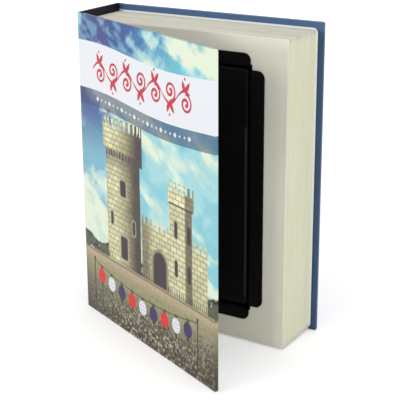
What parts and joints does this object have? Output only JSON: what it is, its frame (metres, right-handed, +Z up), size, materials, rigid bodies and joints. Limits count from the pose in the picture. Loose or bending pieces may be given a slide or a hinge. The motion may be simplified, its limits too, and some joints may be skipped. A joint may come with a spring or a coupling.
{
  "type": "book diversion safe",
  "caption": "Hardback book whose glued leaves hold a hinged, key-locked steel box behind a swinging front cover.",
  "frame": {"origin": "middle of the base of the whole part as it stands on its tail edge, with the front cover open as stored", "axes": "+Z up, from tail to head of the book; +X from the spine to the fore edge; +Y from the front cover to the back cover"},
  "size_m": [0.2, 0.141, 0.265],
  "materials": {
    "cover_print": "gloss laminated colour print",
    "cover_blue": "satin laminated blue paper",
    "endpaper": "matt uncoated white paper",
    "leaves": "cut edges of cream book paper",
    "greyboard": "raw greyboard",
    "lining": "starched open-weave cotton",
    "black_steel": "semi-gloss black powder coat",
    "plated_steel": "bright zinc plate",
    "lock_zinc": "polished nickel plate on zinc alloy"
  },
  "bodies": {
    "book": {"spine_board": "greyboard", "spine_cover_paper": "cover_blue", "spine_lining": "lining", "back_joint_paper": "cover_blue", "back_joint_lining": "lining", "back_board": "greyboard", "back_cover_paper": "cover_blue", "back_endpaper": "endpaper", "cut_leaves": "leaves", "back_leaves": "leaves", "box_body": "black_steel", "lock_keeper": "black_steel", "hinge_pin_lower": "plated_steel", "hinge_pin_upper": "plated_steel", "hinge_washer_lower": "plated_steel", "hinge_washer_upper": "plated_steel"},
    "front_joint": {"front_joint_paper": "cover_print", "front_joint_lining": "lining"},
    "front_cover": {"front_board": "greyboard", "front_cover_paper": "cover_print", "front_endpaper": "endpaper"},
    "box_lid": {"lid": "black_steel", "lock_housing": "lock_zinc", "lock_washer": "plated_steel", "lock_nut": "plated_steel"},
    "lock_barrel": {"lock_plug": "lock_zinc", "lock_cam": "plated_steel", "cam_screw": "plated_steel"}
  },
  "joints": [
    {"name": "cover_close", "type": "hinge", "parent": "book", "child": "front_joint", "pos_m": [-0.1, 0.01247, 0.1325], "axis": [0, 0, -1], "range_deg": [-24.5, 0]},
    {"name": "cover_open", "type": "hinge", "parent": "front_joint", "child": "front_cover", "pos_m": [-0.09272, 0.00915, 0.1325], "axis": [0, 0, -1], "range_deg": [0, 155.5]},
    {"name": "lid_hinge", "type": "hinge", "parent": "book", "child": "box_lid", "pos_m": [-0.0575, 0.02497, 0.13245], "axis": [0, 0, -1], "range_deg": [0, 95]},
    {"name": "lock_turn", "type": "hinge", "parent": "box_lid", "child": "lock_barrel", "pos_m": [0.0149, 0.0265, 0.13245], "axis": [0, 1, 0], "range_deg": [0, 90]}
  ],
  "couplings": [
    {"joint": "lid_hinge", "follows": "cover_open", "ratio": 0.6}
  ]
}
